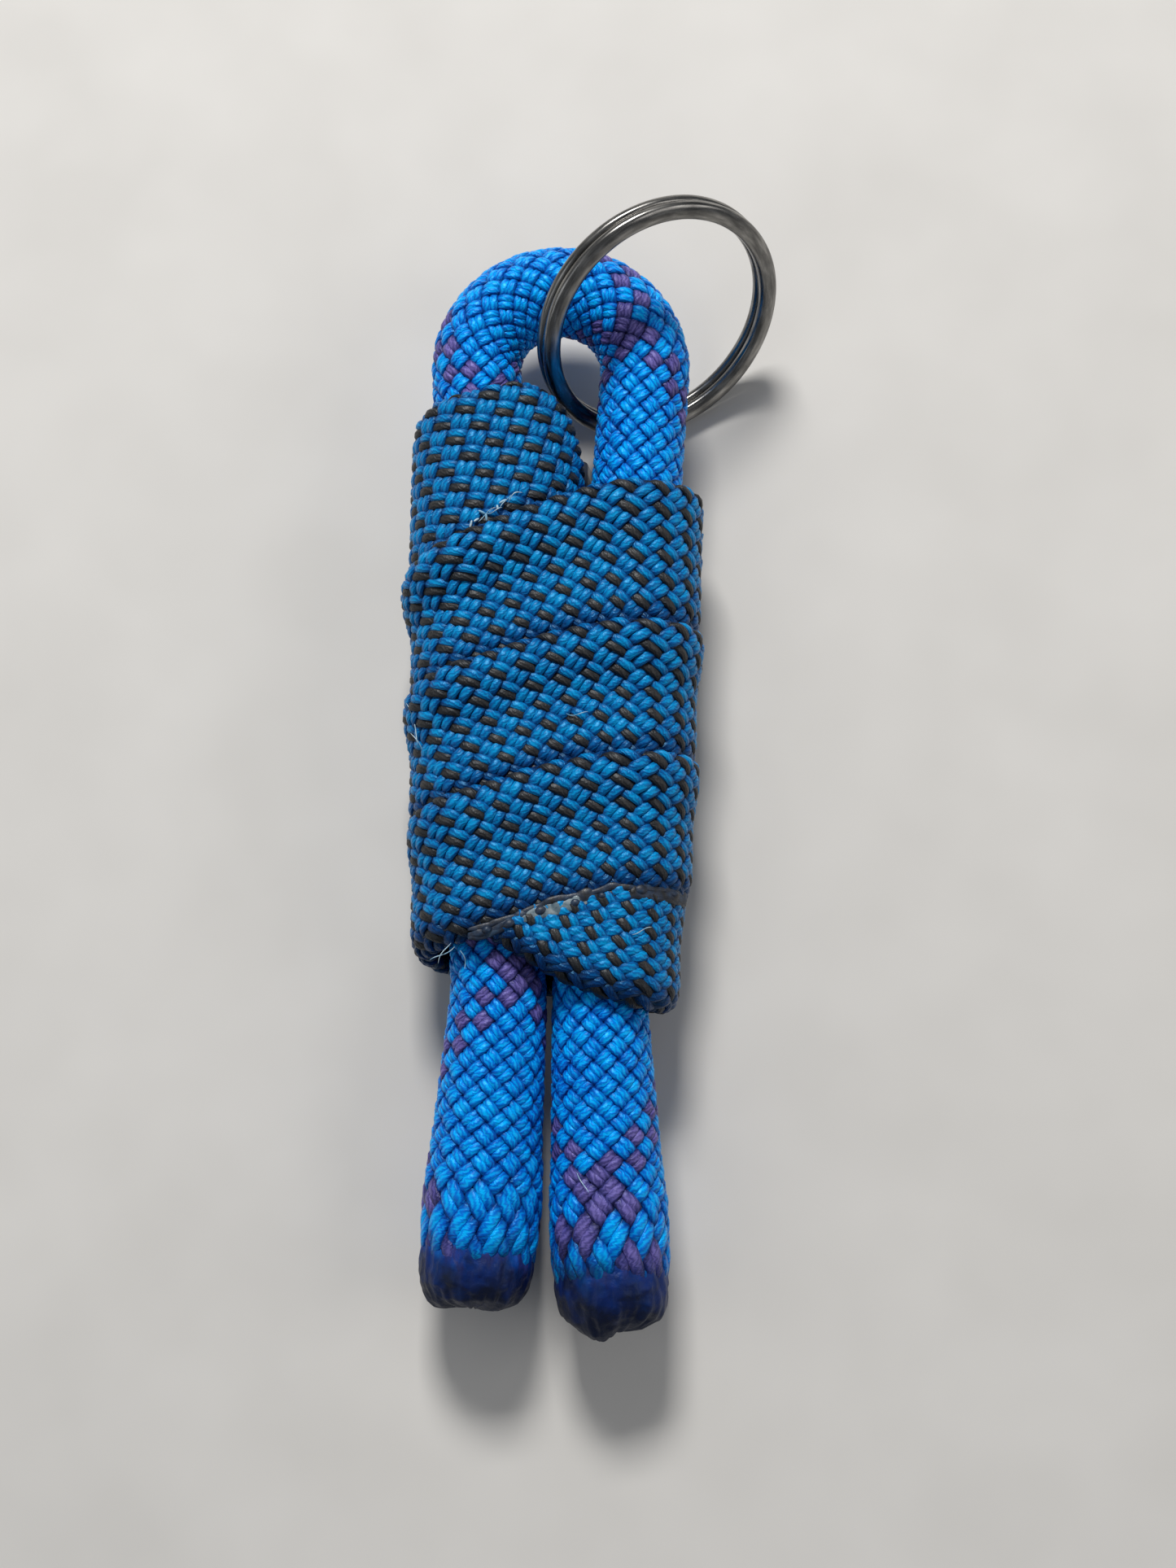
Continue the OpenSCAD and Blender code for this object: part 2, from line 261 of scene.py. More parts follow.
def fused_material():
    """Melted and hardened nylon: dark, glossy, streaked along the rope."""
    mat, t, p = principled("fused_nylon", Roughness=0.38, Specular_IOR_Level=0.32, Specular_Tint=(0.6, 0.75, 1.0, 1))
    tc = add(t, "ShaderNodeTexCoord")
    mp = add(t, "ShaderNodeMapping")
    mp.inputs["Scale"].default_value = (1.0, 0.28, 1.0)
    t.links.new(tc.outputs["Object"], mp.inputs["Vector"])
    n = add(t, "ShaderNodeTexNoise")
    n.inputs["Scale"].default_value = 700
    n.inputs["Detail"].default_value = 5
    t.links.new(mp.outputs[0], n.inputs["Vector"])
    n2 = add(t, "ShaderNodeTexNoise")
    n2.inputs["Scale"].default_value = 230
    n2.inputs["Detail"].default_value = 3
    t.links.new(tc.outputs["Object"], n2.inputs["Vector"])
    av = add(t, "ShaderNodeMath", operation="MULTIPLY_ADD")
    av.inputs[1].default_value = 0.45
    t.links.new(n.outputs[0], av.inputs[0])
    hv = add(t, "ShaderNodeMath", operation="MULTIPLY")
    hv.inputs[1].default_value = 0.58
    t.links.new(n2.outputs[0], hv.inputs[0])
    t.links.new(hv.outputs[0], av.inputs[2])
    cr = ramp(t, [(0.34, (0.002, 0.012, 0.08)), (0.44, (0.0, 0.05, 0.34)),
                  (0.51, (0.035, 0.03, 0.15)), (0.58, (0.0, 0.09, 0.5)), (0.70, (0.0, 0.24, 0.8))])
    t.links.new(av.outputs[0], cr.inputs[0])
    t.links.new(melt_colour(t, tc, cr.outputs[0]), p.inputs["Base Color"])
    grain = add(t, "ShaderNodeTexNoise")
    grain.inputs["Scale"].default_value = 1500
    grain.inputs["Detail"].default_value = 3
    t.links.new(tc.outputs["Object"], grain.inputs["Vector"])
    hsum = add(t, "ShaderNodeMath", operation="MULTIPLY_ADD")
    hsum.inputs[1].default_value = 0.6
    t.links.new(grain.outputs[0], hsum.inputs[0])
    t.links.new(n.outputs[0], hsum.inputs[2])
    rr = add(t, "ShaderNodeMapRange")
    rr.inputs["To Min"].default_value = 0.3
    rr.inputs["To Max"].default_value = 0.6
    t.links.new(n.outputs[0], rr.inputs["Value"])
    t.links.new(rr.outputs[0], p.inputs["Roughness"])
    bp = add(t, "ShaderNodeBump")
    bp.inputs["Strength"].default_value = 0.8
    bp.inputs["Distance"].default_value = 0.0002
    t.links.new(hsum.outputs[0], bp.inputs["Height"])
    t.links.new(bp.outputs[0], p.inputs["Normal"])
    return mat


fused = fused_material()


def singed_material(name, stops):
    mat, t, p = principled(name, Roughness=0.5, Coat_Weight=0.04)
    tc = add(t, "ShaderNodeTexCoord")
    n = add(t, "ShaderNodeTexNoise")
    n.inputs["Scale"].default_value = 900
    n.inputs["Detail"].default_value = 4
    t.links.new(tc.outputs["Object"], n.inputs["Vector"])
    cr = ramp(t, stops)
    t.links.new(n.outputs[0], cr.inputs[0])
    t.links.new(cr.outputs[0], p.inputs["Base Color"])
    bp = add(t, "ShaderNodeBump")
    bp.inputs["Strength"].default_value = 0.8
    bp.inputs["Distance"].default_value = 0.00015
    t.links.new(n.outputs[0], bp.inputs["Height"])
    t.links.new(bp.outputs[0], p.inputs["Normal"])
    return mat


singed = singed_material("singed_nylon", [(0.36, (0.003, 0.004, 0.007)), (0.55, (0.006, 0.018, 0.045)), (0.68, (0.015, 0.045, 0.09)), (0.85, (0.09, 0.12, 0.14))])
pale_melt = singed_material("pale_melt", [(0.32, (0.02, 0.05, 0.08)), (0.5, (0.10, 0.15, 0.18)), (0.7, (0.26, 0.31, 0.33))])


def steel_material():
    """Drawn and plated spring steel: fine lines along the wire, worn in places."""
    mat, t, p = principled("ring_steel", Metallic=1.0, Roughness=0.26)
    uv = add(t, "ShaderNodeUVMap", uv_map="yarn")
    mp = add(t, "ShaderNodeMapping")
    mp.inputs["Scale"].default_value = (0.22, 9.0, 1.0)
    t.links.new(uv.outputs[0], mp.inputs["Vector"])
    n = add(t, "ShaderNodeTexNoise", noise_dimensions="2D")
    n.inputs["Scale"].default_value = 1.6
    n.inputs["Detail"].default_value = 5
    t.links.new(mp.outputs[0], n.inputs["Vector"])
    tc = add(t, "ShaderNodeTexCoord")
    w = add(t, "ShaderNodeTexNoise")
    w.inputs["Scale"].default_value = 260
    w.inputs["Detail"].default_value = 4
    t.links.new(tc.outputs["Object"], w.inputs["Vector"])
    cr = ramp(t, [(0.3, (0.13, 0.127, 0.123)), (0.55, (0.23, 0.225, 0.215)), (0.75, (0.36, 0.35, 0.335))])
    t.links.new(n.outputs[0], cr.inputs[0])
    t.links.new(cr.outputs[0], p.inputs["Base Color"])
    mr = add(t, "ShaderNodeMapRange")
    mr.inputs["From Min"].default_value = 0.3
    mr.inputs["From Max"].default_value = 0.7
    mr.inputs["To Min"].default_value = 0.17
    mr.inputs["To Max"].default_value = 0.36
    t.links.new(w.outputs[0], mr.inputs["Value"])
    t.links.new(mr.outputs[0], p.inputs["Roughness"])
    bp = add(t, "ShaderNodeBump")
    bp.inputs["Strength"].default_value = 0.10
    bp.inputs["Distance"].default_value = 0.00002
    t.links.new(n.outputs[0], bp.inputs["Height"])
    t.links.new(bp.outputs[0], p.inputs["Normal"])
    return mat


steel = steel_material()


def floor_material():
    mat, t, p = principled("floor", Roughness=0.75)
    tc = add(t, "ShaderNodeTexCoord")
    n = add(t, "ShaderNodeTexNoise")
    n.inputs["Scale"].default_value = 60
    t.links.new(tc.outputs["Object"], n.inputs["Vector"])
    cr = ramp(t, [(0.3, (0.60, 0.585, 0.56)), (0.7, (0.64, 0.625, 0.60))])
    t.links.new(n.outputs[0], cr.inputs[0])
    t.links.new(cr.outputs[0], p.inputs["Base Color"])
    return mat


# ------------------------------------------------------------ mesh builders
class Mesh:
    """Collects closed tubes and grids, then makes one mesh object of them."""

    def __init__(self):
        self.v, self.quads, self.caps, self.qm, self.cm, self.quv, self.n = [], [], [], [], [], [], 0
        self.shade = []

    def tube(self, p, normal, w, h, sides, mat, flat=0.8, v0=0.0, taper=0.0, shade=1.0, lean=0):
        """A closed tube along the points p, w wide across its normal and h thick."""
        p = np.asarray(p, float)
        c = len(p)
        w = np.broadcast_to(w, (c,)).astype(float)
        h = np.broadcast_to(h, (c,)).astype(float)
        tan = np.gradient(p, axis=0)
        tan /= np.linalg.norm(tan, axis=1)[:, None] + 1e-12
        side = np.cross(tan, normal)
        side /= np.linalg.norm(side, axis=1)[:, None] + 1e-12
        out = np.cross(side, tan)
        if taper:
            e = np.minimum(1, np.minimum(np.arange(c), np.arange(c)[::-1]) * taper + 0.35)
            w, h = w * e, h * e
        ang = (np.arange(sides) + 0.5) * 2 * np.pi / sides
        ca, sa = np.cos(ang), np.sin(ang)
        ca = np.sign(ca) * np.abs(ca) ** flat
        sa = np.sign(sa) * np.abs(sa) ** flat
        pts = p[:, None] + side[:, None] * (w[:, None, None] * ca[None, :, None]) + out[:, None] * (h[:, None, None] * sa[None, :, None])
        i = np.arange(c - 1)[:, None] * sides
        j = np.arange(sides)[None]
        k = (j + 1) % sides
        q = np.stack([i + j, i + k, i + sides + k, i + sides + j], -1).reshape(-1, 4) + self.n
        self.v.append(pts.reshape(-1, 3))
        # painted shade: darker down its flanks, most of all on the flank away from its partner yarn
        flank = (0.5 + 0.5 * np.clip(0.5 + 0.8 * sa, 0, 1)) * (1 - 0.5 * np.clip(lean * ca, 0, 1) ** 2)
        self.shade.append((np.broadcast_to(shade, (c,))[:, None] * flank[None, :]).reshape(-1))
        self.quads.append(q)
        self.qm.append(np.full(len(q), mat))
        along = np.concatenate([[0], np.cumsum(np.linalg.norm(np.diff(p, axis=0), axis=1))])
        u = np.stack([along[:-1, None] + 0 * j, along[:-1, None] + 0 * j, along[1:, None] + 0 * j, along[1:, None] + 0 * j], -1)
        vv = np.stack([j / sides, (j + 1) / sides, (j + 1) / sides, j / sides], -1) + 0 * u
        self.quv.append(np.stack([u + v0 * 3.7, vv + v0], -1).reshape(-1, 2))
        self.caps.append(list(range(self.n + sides - 1, self.n - 1, -1)))
        self.caps.append(list(range(self.n + (c - 1) * sides, self.n + c * sides)))
        self.cm += [mat, mat]
        self.n += c * sides

    def make(self, name, mats):
        v = np.concatenate(self.v) * MM
        q = np.concatenate(self.quads)
        me = bpy.data.meshes.new(name)
        loops = [q.reshape(-1)] + [np.array(c) for c in self.caps]
        sizes = np.concatenate([np.full(len(q), 4), np.array([len(c) for c in self.caps], int)]) if self.caps else np.full(len(q), 4)
        lv = np.concatenate(loops)
        me.vertices.add(len(v))
        me.vertices.foreach_set("co", v.reshape(-1))
        me.loops.add(len(lv))
        me.loops.foreach_set("vertex_index", lv.astype(np.int32))
        me.polygons.add(len(sizes))
        starts = np.concatenate([[0], np.cumsum(sizes)[:-1]])
        me.polygons.foreach_set("loop_start", starts.astype(np.int32))
        me.polygons.foreach_set("loop_total", sizes.astype(np.int32))
        me.polygons.foreach_set("material_index", np.concatenate(self.qm + [np.array(self.cm, int)]).astype(np.int32))
        me.polygons.foreach_set("use_smooth", np.ones(len(sizes), bool))
        uv = me.uv_layers.new(name="yarn")
        flat = np.concatenate(self.quv + [np.zeros((sum(len(c) for c in self.caps), 2))])
        uv.data.foreach_set("uv", flat.astype(np.float32).reshape(-1))
        at = me.attributes.new("shade", "FLOAT", "POINT")
        sh = np.concatenate(self.shade) if self.shade else np.ones(len(v))
        at.data.foreach_set("value", (sh if len(sh) == len(v) else np.ones(len(v))).astype(np.float32))
        me.validate()
        me.update()
        o = bpy.data.objects.new(name, me)
        bpy.context.scene.collection.objects.link(o)
        for mt in mats:
            me.materials.append(mt)
        print(f"piece {name}: {sum(s - 2 for s in sizes)} triangles")
        return o


# ------------------------------------------------------------- rope's route
EYE_R, LEAN, BEND_R = 9.7, math.radians(3.3), 40.0
WAIST = 5.6
BEND_X = WAIST + BEND_R
LEG = (EYE_R * math.cos(LEAN) - BEND_X + BEND_R * math.cos(LEAN)) / math.sin(LEAN)
TAIL_L, TAIL_R, SEAL = 22.5, 24.5, 8.4
ROPE_R = 5.25


def build_route():
    """Points along the rope from the left tail's sheath end round the eye."""
    segments = [(TAIL_L, 0.0), (BEND_R * 2 * LEAN, 2 * LEAN), (LEG, 0.0), (EYE_R * (math.pi + 2 * LEAN), -(math.pi + 2 * LEAN)),
                (LEG, 0.0), (BEND_R * 2 * LEAN, 2 * LEAN), (TAIL_R, 0.0)]
    a, x, y, h = [0.0], [0.0], [0.0], [math.pi / 2 - LEAN]
    top = 0
    for which, (length, turn) in enumerate(segments):
        steps = int(length / 0.2)
        for i in range(steps):
            mid = h[-1] + turn / steps / 2
            chord = length / steps
            x.append(x[-1] + math.cos(mid) * chord)
            y.append(y[-1] + math.sin(mid) * chord)
            h.append(h[-1] + turn / steps)
            a.append(a[-1] + chord)
            if which == 3 and i == steps // 2 - 1:
                top = len(a) - 1
    a, x, y, h = map(np.array, (a, x, y, h))
    return a, x - x[top], y - y[top] + EYE_R, h, float(a[-1])


A_S, A_X, A_Y, A_H, A_LEN = build_route()


def route_at(a):
    """Centre, tangent and outer side of the rope at distances a, in mm."""
    x = np.interp(a, A_S, A_X) + np.where(a < 0, a * math.cos(A_H[0]), 0) + np.where(a > A_LEN, (a - A_LEN) * math.cos(A_H[-1]), 0)
    y = np.interp(a, A_S, A_Y) + np.where(a < 0, a * math.sin(A_H[0]), 0) + np.where(a > A_LEN, (a - A_LEN) * math.sin(A_H[-1]), 0)
    h = np.interp(a, A_S, A_H)
    return x, y, h


def rope_radius(a):
    """Outer radius of the sheath: it swells towards both sealed ends."""
    d = np.minimum(a, A_LEN - a)
    return np.interp(d, [-8.6, -7.6, -6.4, -5, -3.4, 0, 2, 5, 9.5, 18, 22, 26, 40], [4.4, 5.2, 5.9, 6.3, 6.5, 6.5, 6.5, 6.42, 6.1, 5.72, 5.55, 5.35, ROPE_R])


def rope_point(a, phi, r):
    x, y, h = route_at(a)
    ox, oy = -np.sin(h), np.cos(h)  # left of the heading is the outer side going up the left leg
    n = np.stack([ox * np.cos(phi), oy * np.cos(phi), np.sin(phi)], -1)
    return np.stack([x, y, 0 * x], -1) + n * np.asarray(r)[..., None], n


PITCH = 32.33
S_GRID = np.linspace(-12, A_LEN + 12, 1200)
# the yarns straighten where the ends splay, so the pitch grows there
_d = np.minimum(S_GRID, A_LEN - S_GRID)
P_GRID = PITCH * np.interp(_d, [-6, -1, 2.5, 6, 9], [3.4, 3.0, 2.1, 1.15, 1.0])
PSI = np.concatenate([[0], np.cumsum(12 / ((P_GRID[1:] + P_GRID[:-1]) / 2) * np.diff(S_GRID))])
PSI -= np.interp(27.1, S_GRID, PSI)
TWIST_A, TWIST_V = [27.1, 221.1], [math.radians(105), math.radians(85)]
TRACER_P, TRACER_M = (0, 1), (0, 1)


def rope_yarns(name, a0, a1, family):
    """One family (+1 or -1) of the rope's diamond braid between two distances."""
    mesh = Mesh()
    psi0, psi1 = np.interp([a0, a1], S_GRID, PSI)
    count = max(8, int((psi1 - psi0) * 2 * 4.6))
    psi = np.linspace(psi0, psi1, count)
    a = np.interp(psi, PSI, S_GRID)
    for i in range(12):
        tracer = i in (TRACER_P if family > 0 else TRACER_M)
        for sub in (-0.225, 0.225):
            own = i + sub
            jit = rng.uniform(-0.02, 0.02)
            phi = 2 * np.pi * (own + jit + family * psi) / 12 + np.interp(a, TWIST_A, TWIST_V)
            other = own + family * 2 * psi
            wave = np.cos(np.pi * other) * (-1) ** i * family
            crown = np.clip(wave, 0, 1) ** 0.6
            wave = np.tanh(0.8 * wave) / math.tanh(0.8)
            R = rope_radius(a)
            d = np.minimum(a, A_LEN - a)
            amp = np.interp(d, [-4, -1, 4, 8], [0.10, 0.32, 0.42, 0.42])
            mid = R - np.interp(d, [-7, -5, -3, -1], [1.55, 1.15, 0.9, 0.8])
            x, y, h = route_at(a)
            curv = -np.gradient(h) / np.gradient(a)
            g = np.clip(1 + mid * curv * np.cos(phi), 0.3, 3)
            per = np.interp(a, S_GRID, P_GRID)
            density = 12 * np.sqrt((1 / (2 * np.pi * mid)) ** 2 + (1 / (g * per)) ** 2)
            w = 0.5 / density * 0.5 * 1.2
            th = 0.38 * np.clip(w / 0.54, 0.85, 1.3)
            lift = amp * wave + rng.uniform(-0.025, 0.025)
            p, n = rope_point(a, phi, mid + lift)
            # every yarn melts away at its own distance past the sheath's end
            e0, e1 = rng.uniform(3.0, 6.8, 2)
            left = np.minimum(a + e0, A_LEN + e1 - a)
            keep = left > 0
            fade = np.clip(left / 1.8, 0.3, 1)[keep]
            # painted shade: darkest where each yarn dives under another, eased off where the yarns splay into the
            # melted ends
            mesh.tube(p[keep], n[keep], w[keep] * (0.4 + 0.6 * fade), th[keep] * fade, 8, 1 if tracer else 0, flat=0.85, v0=rng.uniform(0, 1),
                      shade=(0.18 + 0.82 * np.maximum(crown, np.interp(d, [-3, 0], [0.8, 0])))[keep], lean=np.sign(sub))
    o = mesh.make(name, [rope_blue, rope_violet])
    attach(o, "fob")
    return o


# the inside of the sheath, a plain closed tube under the yarns; its near-black material is painted shade in the gaps
# between them
def rope_inner():
    mesh = Mesh()
    a = np.linspace(-SEAL + 0.7, A_LEN + SEAL - 0.7, 250)
    x, y, h = route_at(a)
    p = np.stack([x, y, 0 * x], -1)
    up_n = np.tile([0.0, 0.0, 1.0], (len(a), 1))
    d = np.minimum(a, A_LEN - a)
    r = rope_radius(a) - np.interp(d, [-SEAL, -5.5, -1, 1], [2.6, 1.9, 1.0, 0.75])
    mesh.tube(p, up_n, r, r, 24, 0, flat=1.0)
    o = mesh.make("rope_sheath_inner", [under_blue])
    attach(o, "fob")
    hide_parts("rope_sheath")
    return o, p


LEG_TOP = TAIL_L + BEND_R * 2 * LEAN + LEG
inner, path = rope_inner()
eye_plus = rope_yarns("rope_eye_yarns_right_lay", LEG_TOP - 26, LEG_TOP + EYE_R * (math.pi + 2 * LEAN) + 26, 1)
eye_minus = rope_yarns("rope_eye_yarns_left_lay", LEG_TOP - 26, LEG_TOP + EYE_R * (math.pi + 2 * LEAN) + 26, -1)
tails = []
for side, a0, a1 in (("left", -7.0, 40.5), ("right", A_LEN - 42.5, A_LEN + 7.0)):
    for fam, word in ((1, "right_lay"), (-1, "left_lay")):
        tails.append(rope_yarns(f"rope_{side}_tail_yarns_{word}", a0, a1, fam))


# ---------------------------------------------------------- melted rope ends
def sealed_end(name, at_start, seed):
    """A lump of melted yarns: ridged where the yarns run in, blunt and uneven."""
    length = SEAL
    prof_t = np.array([-1.3, 0.0, 1.0, 2.0, 3.0, 4.0, 5.0, 6.0, 6.8, 7.5, 8.0, 8.35, 8.4, 8.3]) / SEAL
    prof_r = np.array([5.15, 5.5, 5.75, 5.95, 6.1, 6.16, 6.08, 5.88, 5.5, 4.95, 4.1, 3.0, 1.5, 0.12])
    rings, around = 60, 144
    tt = np.linspace(0, len(prof_t) - 1, rings)
    t_of = np.interp(tt, np.arange(len(prof_t)), prof_t)
    r_of = np.interp(tt, np.arange(len(prof_t)), prof_r)
    verts = []
    for i in range(rings):
        for j in range(around):
            ph = 2 * math.pi * j / around
            t, r = t_of[i], r_of[i]
            run = max(0.0, min(1.0, 1 - t))
            p = Vector((math.cos(ph) * 1.6, math.sin(ph) * 1.6, t * 2.2 + seed))
            n1 = noise.noise(p)
            n2 = noise.noise(p * 3.1)
            n3 = noise.noise(Vector((math.cos(ph) * 7, math.sin(ph) * 7, t * 1.2 + seed)))
            ridge = 0.13 * run * math.sin(19 * ph + 5.0 * n1 + 3.0 * n2)
            rim = math.exp(-((t - 0.9) / 0.12) ** 2)
            r2 = r * (1 + 0.035 * n1 + 0.02 * n2) + ridge * min(1, r / 5) + 0.28 * n3 * min(1, r / 4) * (0.4 + 0.8 * rim)
            # one melted drop hangs from each end
            px = -math.cos(ph) * r / 6.3 if at_start else math.cos(ph) * r / 6.3
            pz = math.sin(ph) * r / 6.3
            cx, cz, reach, size = (-0.72, 0.25, 0.10, 0.9) if at_start else (-0.22, 0.45, 0.20, 1.1)
            drop = size * math.exp(-((px - cx) ** 2 + (pz - cz) ** 2) / reach) * max(0.0, min(1.0, (t - 0.75) * 5))
            along = drop + t * length + (0.55 * n1 + 0.45 * n2) * (0.25 + 0.75 * max(0, t)) * min(1, r / 3 + 0.3)
            if at_start:
                a = -along
            else:
                a = A_LEN + along
            pt, _ = rope_point(np.array([a]), np.array([ph]), np.array([r2]))
            verts.append(pt[0])
    verts = np.array(verts)
    mesh = Mesh()
    i = np.arange(rings - 1)[:, None] * around
    j = np.arange(around)[None]
    k = (j + 1) % around
    q = np.stack([i + j, i + k, i + around + k, i + around + j], -1).reshape(-1, 4)
    if not at_start:
        pass
    else:
        q = q[:, ::-1]
    mesh.v.append(verts)
    mesh.quads.append(q)
    mesh.qm.append(np.zeros(len(q), int))
    mesh.quv.append(np.zeros((len(q) * 4, 2)))
    caps = [list(range(around - 1, -1, -1)), list(range((rings - 1) * around, rings * around))]
    if at_start:
        caps = [c[::-1] for c in caps]
    mesh.caps += caps
    mesh.cm += [0, 0]
    mesh.n = len(verts)
    o = mesh.make(name, [fused])
    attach(o, "fob")
    return o


end_left = sealed_end("melted_end_left", True, 3.3)
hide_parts("sealed_end_left")
end_right = sealed_end("melted_end_right", False, 9.1)
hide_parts("sealed_end_right")

# -------------------------------------------------------------- wound sleeve
BAND_R = 6.5


def leg_at(y):
    return EYE_R * math.cos(LEAN) + (y + EYE_R * math.sin(LEAN)) * math.tan(LEAN)


def half_span(y):
    return np.where(y > -62, 8.85 + (y + 23.6) * 0.033, 7.58 + (y + 62) * 0.14)


def smooth(xs, ys, x):
    """Monotone cubic through the knots."""
    xs, ys, x = np.asarray(xs, float), np.asarray(ys, float), np.asarray(x, float)
    d = np.diff(ys) / np.diff(xs)
    m = np.zeros_like(ys)
    m[0], m[-1] = d[0], d[-1]
    for i in range(1, len(ys) - 1):
        if d[i - 1] * d[i] > 0:
            w1 = 2 * (xs[i + 1] - xs[i]) + (xs[i] - xs[i - 1])
            w2 = (xs[i + 1] - xs[i]) + 2 * (xs[i] - xs[i - 1])
            m[i] = (w1 + w2) / (w1 / d[i - 1] + w2 / d[i])
    i = np.clip(np.searchsorted(xs, x) - 1, 0, len(xs) - 2)
    h = xs[i + 1] - xs[i]
    t = (x - xs[i]) / h
    return ((1 + 2 * t) * (1 - t) ** 2 * ys[i] + t * (1 - t) ** 2 * h * m[i]
            + t * t * (3 - 2 * t) * ys[i + 1] + t * t * (t - 1) * h * m[i + 1])


EDGE_K = [0, 0.135, 0.25, 0.365, 0.5, 0.75, 1, 1.135, 1.25, 1.365, 1.5, 1.75, 2, 2.135, 2.25, 2.365, 2.5, 2.75,
          3, 3.135, 3.25, 3.365, 3.5, 3.75, 4]
EDGE_Y = [-15.5, -15.7, -18.2, -22.0, -26.6, -29.2, -31.7, -32.0, -33.7, -36.6, -40.2, -43.4, -46.4, -46.7, -48.2, -51.0, -54.0, -57.6,
          -61.0, -61.1, -62.9, -65.8, -67.6, -70.6, -73.8]
LAST_K = [2.85, 3.0, 3.07, 3.15, 3.23, 3.29, 3.36, 3.5]
LAST_Y = [-71.8, -73.4, -73.6, -72.6, -70.6, -68.2, -65.4, -61.4]


def edge(k):
    return smooth(EDGE_K, EDGE_Y, k)


def slot(k, y, r):
    """Outline of the wound bundle: k = 0 at the right side, 0.25 in front."""
    f = k - np.floor(k)
    h = half_span(y)
    q = np.pi * r / 2
    s = f * 4 * (h + q)
    x, z, nx, nz = (np.zeros_like(s) for _ in range(4))
    m1 = s < q
    m2 = (s >= q) & (s < q + 2 * h)
    m3 = (s >= q + 2 * h) & (s < 3 * q + 2 * h)
    m4 = (s >= 3 * q + 2 * h) & (s < 3 * q + 4 * h)
    m5 = s >= 3 * q + 4 * h
    for m, cx, a0, off in ((m1, 1, 0, 0), (m3, -1, np.pi / 2, q + 2 * h), (m5, 1, 1.5 * np.pi, 3 * q + 4 * h)):
        a = (a0 + (s - off) / r)[m]
        x[m] = (cx * h)[m] + (r * np.cos(a) if np.isscalar(r) else r[m] * np.cos(a))
        z[m] = r * np.sin(a) if np.isscalar(r) else r[m] * np.sin(a)
        nx[m], nz[m] = np.cos(a), np.sin(a)
    rr = r if np.isscalar(r) else None
    x[m2] = (h - (s - q))[m2]
    z[m2] = rr if rr is not None else r[m2]
    nz[m2] = 1
    x[m4] = (-h + (s - 3 * q - 2 * h))[m4]
    z[m4] = -rr if rr is not None else -r[m4]
    nz[m4] = -1
    return x, z, nx, nz


def ramp_up(u):
    """How much of an edge's lift is reached at u, from 0 (lower edge) to 1."""
    t = np.clip((u - 0.5) / 0.42, 0, 1)
    return t * t * (3 - 2 * t)


class Band:
    """A flattened braided sleeve laid along stations. Strip coordinates: a runs
    along the band's middle line, c across it towards +Y."""

    def __init__(self, x, z, nx, nz, top, bot, rise, mirrored, half=None):
        self.x, self.z, self.nx, self.nz = x, z, nx, nz
        self.yc, self.H = (top + bot) / 2, (top - bot) / 2
        ds = np.hypot(np.diff(x), np.diff(z))
        self.s = np.concatenate([[0], np.cumsum(ds)])
        th = np.arctan2(np.gradient(self.yc), np.gradient(self.s) + 1e-9)
        ker = np.hanning(41)
        ker /= ker.sum()
        self.th = np.convolve(np.pad(th, 20, mode="edge"), ker, mode="valid")
        dl = ds / np.cos((self.th[1:] + self.th[:-1]) / 2)
        self.L = np.concatenate([[0], np.cumsum(dl)])
        self.idx = np.arange(len(x), dtype=float)
        self.rise = rise
        self.sign = 1 if mirrored else -1
        self.half = float(np.median(self.H * np.cos(self.th))) if half is None else half

    def index(self, a, c):
        """Where along the stations the strip point (a, c) lies."""
        i = np.interp(a, self.L, self.idx)
        for _ in range(14):
            th = np.interp(i, self.idx, self.th)
            i = 0.5 * i + 0.5 * np.interp(a - c * np.tan(th), self.L, self.idx)
        return i

    def place(self, a, c, n):
        """3-D points of strip points at a height n over the band's middle, with normals."""
        i = self.index(a, c)
        g = lambda arr: np.interp(i, self.idx, arr)
        th = g(self.th)
        dy = c / np.cos(th) * g(self.H) * np.cos(th) / self.half
        u = np.clip((c / self.half + 1) / 2, 0, 1)
        lift = g(self.rise) * ramp_up(u) - 0.7 * np.clip(1 - u / 0.22, 0, 1) ** 2
        nx, nz = g(self.nx), g(self.nz)
        ln = np.hypot(nx, nz)
        nx, nz = nx / ln, nz / ln
        off = n + lift
        p = np.stack([g(self.x) + nx * off, g(self.yc) + dy, g(self.z) + nz * off], -1)
        return p, np.stack([nx, 0 * nx, nz], -1), i

    def wrap(self, e, rho, extra):
        """Runs the across coordinate e over the folded edges. Returns c, n and the
        outward direction (across, up) of the tube's skin there."""
        flat = self.half - rho
        over = np.clip(np.abs(e) - flat, 0, None)
        ang = np.clip(over / rho, 0, np.pi)
        past = np.clip(over - np.pi * rho, 0, None)
        sg = np.sign(e)
        c = np.where(over > 0, sg * (flat + (rho + extra) * np.sin(ang) - past), e)
        n = np.where(over > 0, (rho + extra) * np.cos(ang), rho + extra)
        return c, n, sg * np.sin(ang), np.cos(ang)


RHO, AMP = 0.62, 0.36
ALPHA, BETA = math.radians(39.0), math.radians(-40.0)
PITCH_A, PITCH_B = 1.82, 2.0


